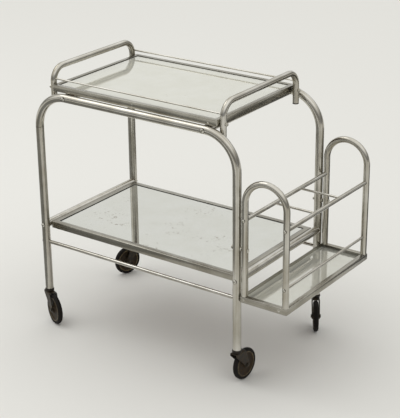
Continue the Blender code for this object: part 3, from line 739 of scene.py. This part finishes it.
# %% The ring on the near left leg
bend_start = middle("top_crossbar_left")[2] - RAIL_BEND
below, flush, proud = frame_r - 0.5 * MM, frame_r + 0.05 * MM, frame_r + 0.12 * MM
ring_line = [(below, -0.7 * MM), (flush, -0.6 * MM), (proud, 0), (flush, 0.6 * MM), (below, 0.7 * MM),
             (below, -0.7 * MM)]
ring = turned(ring_line, (leg_x["left"], side_y["near"], bend_start), Z, 48)
make_piece("bend_mark", [ring], axle_steel, "cart")

# %% [markdown]
# The tray's near rail has two more: a small bright screw near its right end, and one in its middle whose
# head has worn black inside a light ring.

# %% Screws in the tray's near rail
tray_face = low("tray_frame")[1]
rail_middle = middle("tray_frame")[2]
bright = (high("tray_frame")[0] - 23.8 * MM, tray_face, rail_middle - 3 * MM)
worn = np.array([middle("tray_frame")[0], tray_face, rail_middle - 1 * MM])
make_piece("tray_rail_screw", [screw_head(bright, -Y, 2.6 * MM, 1.2 * MM, 0.5)], dull_zinc, "tray")
hole = 1.9 * MM
light_line = [(hole, 0), (hole, 0.5 * MM), (3 * MM, 0.5 * MM), (3.2 * MM, 0), (hole, 0)]
make_piece("tray_rail_washer", [turned(light_line, worn, -Y, 32)], dull_zinc, "tray")
make_piece("tray_rail_plug", [screw_head(worn, -Y, 2 * MM, 0.7 * MM)], black_plug, "tray")

# %% [markdown]
# ## Casters
#
# Each leg ends in a blackened collar whose skirt is pressed into teeth that bite the tube. Below it a
# fork of pressed steel swivels, and trails the wheel behind the leg. The fork is one strip of sheet, bent
# over the wheel: its width is a function of the height, wide at the crown and round at the axle.

# %% Where the casters are
CASTERS = [f"{side}_{end}" for side in SIDES for end in ENDS]


def caster_axes(name):
    """The swivel's foot point, the axle's middle, the way the wheel trails and the axle's direction."""
    swivel = np.array(joints[f"swivel_{name}"]["pos_m"]) * (1, 1, 0)
    axle = np.array(joints[f"spin_{name}"]["pos_m"])
    trail = (axle - swivel) * (1, 1, 0)
    trail /= np.linalg.norm(trail)
    return swivel, axle, trail, np.cross(Z, trail)


# %% Toothed collars
def teeth(angle):
    """22 rounded teeth, 3 % of the radius deep: swell = 1 - 0.015 * (1 - cos 22a)."""
    return 1 - 0.015 * (1 - np.cos(22 * angle))


def collar(name):
    """A flared skirt round the leg's foot, over the plate that the fork turns against."""
    node = f"caster_collar_{name}"
    at = middle(node) * (1, 1, 0)
    foot = low("side_frame_near")[2]
    skirt_r = (high(node)[0] - low(node)[0]) / 2
    plate = foot - 1.9 * MM
    brim = foot + 5.5 * MM
    skirt = [(0, plate), (skirt_r - 1.5 * MM, plate), (skirt_r, plate + 1 * MM), (skirt_r, foot + 2.5 * MM),
             (skirt_r - 0.9 * MM, brim), (frame_r + 0.1 * MM, brim), (frame_r + 0.1 * MM, foot), (0, foot)]
    rivet_low = low(node)[2]
    rivet_top = rivet_low + 2 * MM
    rivet = [(0, rivet_low), (4 * MM, rivet_low), (5.5 * MM, rivet_low + 0.8 * MM), (5.5 * MM, rivet_top),
             (4 * MM, rivet_top), (4 * MM, plate), (0, plate)]
    shells = [turned(skirt, at, Z, 176, teeth), turned(rivet, at, Z, 32)]
    make_piece(f"{node}_skirt", shells, blackened_steel, "cart", [node])


# %% Pressed forks
SHEET = 2 * MM
EAR = 7.5 * MM  # radius of the round end at the axle
# The strip's edges, from the swivel axis along the trail.
CROWN_BACK, CROWN_FRONT, SHOULDER_FRONT = -13 * MM, 21 * MM, 23.5 * MM


def fork(name):
    """Rows run up one cheek, over the crown and down the other. Columns run fore and aft across the strip."""
    node = f"caster_fork_{name}"
    swivel, axle, trail, across_wheel = caster_axes(name)
    reach = np.linalg.norm((axle - swivel)[:2])
    crown, hub = high(node)[2], axle[2]
    half, bend = 10 * MM, 2.6 * MM
    below = hub - EAR * np.cos(np.linspace(0, math.pi / 2, 12))
    above = np.linspace(hub, crown - bend, 16)[1:]
    turn = np.linspace(0, math.pi / 2, 7)[1:]
    height = np.concatenate([below, above, crown - bend + bend * np.sin(turn)])
    sideways = np.concatenate([np.full(len(below) + len(above), half), half - bend + bend * np.cos(turn)])
    shoulder = crown - 6.5 * MM
    ear = np.sqrt(np.clip(EAR ** 2 - np.clip(hub - height, 0, None) ** 2, (0.2 * MM) ** 2, None))
    back_line = np.interp(height, (hub, shoulder), (reach - EAR, CROWN_BACK))
    front_line = np.interp(height, (hub, shoulder, crown), (reach + EAR, SHOULDER_FRONT, CROWN_FRONT))
    back = np.where(height < hub, reach - ear, back_line)
    front = np.where(height < hub, reach + ear, front_line)
    height, back, front = (np.concatenate([row, row[::-1]]) for row in (height, back, front))
    sideways = np.concatenate([sideways, -sideways[::-1]])
    share = np.linspace(0, 1, 11)
    fore_aft = back[:, None] + (front - back)[:, None] * share
    upright = sideways[:, None] * across_wheel + height[:, None] * Z
    points = swivel + fore_aft[..., None] * trail + upright[:, None]
    made = make_piece(f"{node}_strip", [grid(points)], lacquered_steel, f"swivel_{name}", [node])
    wall = made.modifiers.new("sheet", "SOLIDIFY")
    wall.thickness = SHEET
    wall.offset = -1
    edge = made.modifiers.new("pressed edge", "BEVEL")
    edge.width = 0.4 * MM
    edge.segments = 2
    edge.limit_method = "ANGLE"
    edge.angle_limit = math.radians(50)


# %% Axles, wheels and tyres
def both_faces(half):
    """A closed profile in metres, from (radius, height) points in millimetres and their mirror images."""
    mirrored = [(radius, -height) for radius, height in half[::-1]]
    return np.array(half + mirrored + half[:1]) * MM


def wheel(name):
    """The wheel's moulded disc, its steel ring, its rubber tyre and the axle with a nut at each end."""
    _, axle, _, along = caster_axes(name)
    nut_in, nut_out = 10.3 * MM, 12.4 * MM
    nut = [(0, nut_in), (4.9 * MM, nut_in), (4.9 * MM, nut_out - 0.5 * MM), (4.2 * MM, nut_out), (0, nut_out)]
    mirrored = [(radius, -height) for radius, height in nut]
    shells = [turned(nut, axle, along, 36, hexagon), turned(mirrored, axle, along, 36, hexagon)]
    shells.append(rod(axle - along * nut_in, axle + along * nut_in, 3 * MM))
    node = f"caster_axle_{name}"
    make_piece(node + "_bolt", shells, axle_steel, f"swivel_{name}", [node])
    body = f"wheel_{name}"
    hub_line, web_line = [(3.1, 6.8), (8.2, 6.8), (9, 6.2), (9.8, 4.2)], [(12, 3.4), (20, 2.9), (26, 3.4)]
    half_disc = hub_line + web_line + [(27.4, 4.6), (28.2, 4.8)]
    disc = turned(both_faces(half_disc), axle, along, 64)
    make_piece(f"caster_wheel_{name}_disc", [disc], wheel_disc, body,
               [f"caster_wheel_{name}"])
    half_ring = [(28.1, 4.9), (28.6, 5.3), (30.4, 5.3), (30.9, 4.9)]
    ring = turned(both_faces(half_ring), axle, along, 64)
    make_piece(f"caster_wheel_{name}_ring", [ring], wheel_ring, body)
    tyre_r, tyre_half, inner = axle[2], 6.1 * MM, 31 * MM
    turn = np.linspace(-math.pi / 2, math.pi / 2, 17)
    tread = np.stack([tyre_r - 4.2 * MM * (1 - np.cos(turn)), tyre_half * np.sin(turn)], axis=1)
    tread = np.vstack([[(inner, -5 * MM)], tread, [(inner, 5 * MM), (inner, -5 * MM)]])
    make_piece(f"caster_tyre_{name}_rubber", [turned(tread, axle, along, 72)], tyre_rubber, body,
               [f"caster_tyre_{name}"])


for name in CASTERS:
    collar(name)
    fork(name)
    wheel(name)
print("casters:", len(CASTERS))

# %% [markdown]
# ## Floor, light and camera
#
# Polished metal shows its surroundings more than its own colour, so the studio is what makes it look
# round. The floor is plain and pale. A soft light hangs above and a weaker one stands at the left. The
# world is grey at eye level and white overhead and behind the cart, and two grey cloths lie beyond the
# ends of the cart for the tubes to reflect. The camera stands to the right of the cart's front and looks
# down at it with a long lens, so that upright lines stay nearly upright.


# %% Floor
def stage_sheet(name, corners, finish):
    """A flat sheet of the set, from a 2 by 2 grid of corners. It isn't part of the cart."""
    points, quads, _ = grid(np.array(corners, float))
    mesh = bpy.data.meshes.new(name)
    mesh.from_pydata(points.tolist(), [], quads.tolist())
    mesh.materials.append(finish)
    made = bpy.data.objects.new(name, mesh)
    bpy.context.scene.collection.objects.link(made)
    return made


REACH = 12.0  # metres from the cart to the floor's edges
matt, _, shader, _ = start_material("matt pale floor", "#DEDDD9", 0.85)
shader.inputs["Specular IOR Level"].default_value = 0.0
near_edge, far_edge = [[(x, y, 0) for x in (-REACH, REACH)] for y in (-REACH, REACH)]
stage_sheet("floor", [near_edge, far_edge], matt)


# %% Lights
def soft_light(name, place, aim, size, power):
    """A square white area light that faces a point."""
    lamp = bpy.data.lights.new(name, "AREA")
    lamp.size = size
    lamp.energy = power
    made = bpy.data.objects.new(name, lamp)
    made.location = place
    direction = np.asarray(aim, float) - np.asarray(place, float)
    made.rotation_euler = Vector(direction).to_track_quat("-Z", "Y").to_euler()
    bpy.context.scene.collection.objects.link(made)


soft_light("overhead softbox", (-1.75, -0.45, 3.1), (-0.1, 0, 0.4), 1.6, 13)
soft_light("left fill", (-2.6, -1.4, 1.6), (0, 0, 0.3), 1.4, 4)


BEHIND = (-0.585, 0.811, 0.0)  # the way the camera looks, level
SET_SEEN = 0.80  # strength of the set where it is looked at directly


def studio_world(walls, ceiling, backdrop):
    """Light = walls at eye level, or ceiling above, or backdrop behind. The eye sees a plain pale set."""
    world = bpy.data.worlds.new("studio")
    world.use_nodes = True
    tree = world.node_tree
    direction = add(tree, "ShaderNodeTexCoord")
    parts = add(tree, "ShaderNodeSeparateXYZ", None, {"Vector": (direction, "Generated")})
    above = spread(tree, (parts, "Z"), 0.22, 0.68, walls, ceiling)
    behind = add(tree, "ShaderNodeVectorMath", {"operation": "DOT_PRODUCT", 1: BEHIND},
                 {0: (direction, "Generated")})
    paper = spread(tree, (behind, "Value"), 0.45, 0.90, 0.0, backdrop)
    light = add(tree, "ShaderNodeMath", {"operation": "MAXIMUM"}, {0: (above, 0), 1: (paper, 0)})
    path = add(tree, "ShaderNodeLightPath")
    strength = add(tree, "ShaderNodeMix", {"data_type": "FLOAT", 3: SET_SEEN},
                   {0: (path, "Is Camera Ray"), 2: (light, 0)})
    shader = tree.nodes["Background"]
    shader.inputs["Color"].default_value = linear("#FDFDFB")
    tree.links.new(strength.outputs[0], shader.inputs["Strength"])
    bpy.context.scene.world = world


studio_world(0.32, 1.22, 0.85)
bpy.context.scene.view_settings.view_transform = "Standard"


# %% Grey cloths
def grey_cloth(name, toward, start, end, half_width, shade):
    """A cloth on the floor that only reflections see. It draws the darker edge along each tube."""
    toward = np.asarray(toward, float)
    width = half_width * np.cross(Z, toward)
    rows = np.array([toward * start, toward * end]) + Z * MM
    finish = start_material(name, shade, 0.9)[0]
    cloth = stage_sheet(name, np.stack([rows - width, rows + width], axis=1), finish)
    cloth.visible_camera = False
    cloth.visible_diffuse = False
    cloth.visible_shadow = False


grey_cloth("left grey cloth", (-0.81, -0.586, 0), 0.52, 2.2, 1.2, "#7E7E7B")
grey_cloth("back right grey cloth", (0.584, 0.812, 0), 0.75, 2.4, 0.6, "#545452")
print("stage:", "floor, two lights, two cloths")

# %% Camera
YAW, PITCH, ROLL = math.radians(35.867), math.radians(22.533), math.radians(-0.633)
LENS_MM, SENSOR_MM = 117.0, 36.0
EYE = (1.7057, -2.3451, 1.5271)
forward = np.array([-math.sin(YAW) * math.cos(PITCH), math.cos(YAW) * math.cos(PITCH), -math.sin(PITCH)])
level = np.array([math.cos(YAW), math.sin(YAW), 0])
upward = np.cross(level, forward)
right = math.cos(ROLL) * level + math.sin(ROLL) * upward
over = math.cos(ROLL) * upward - math.sin(ROLL) * level
turn = np.eye(4)
turn[:3, :3] = np.stack([right, over, -forward], axis=1)
turn[:3, 3] = EYE
lens = bpy.data.cameras.new("camera")
lens.sensor_fit = "HORIZONTAL"
lens.sensor_width = SENSOR_MM
lens.lens = LENS_MM
print("camera in metres:", EYE)
camera = bpy.data.objects.new("camera", lens)
camera.matrix_world = Matrix(turn.tolist())
bpy.context.scene.collection.objects.link(camera)
bpy.context.scene.camera = camera
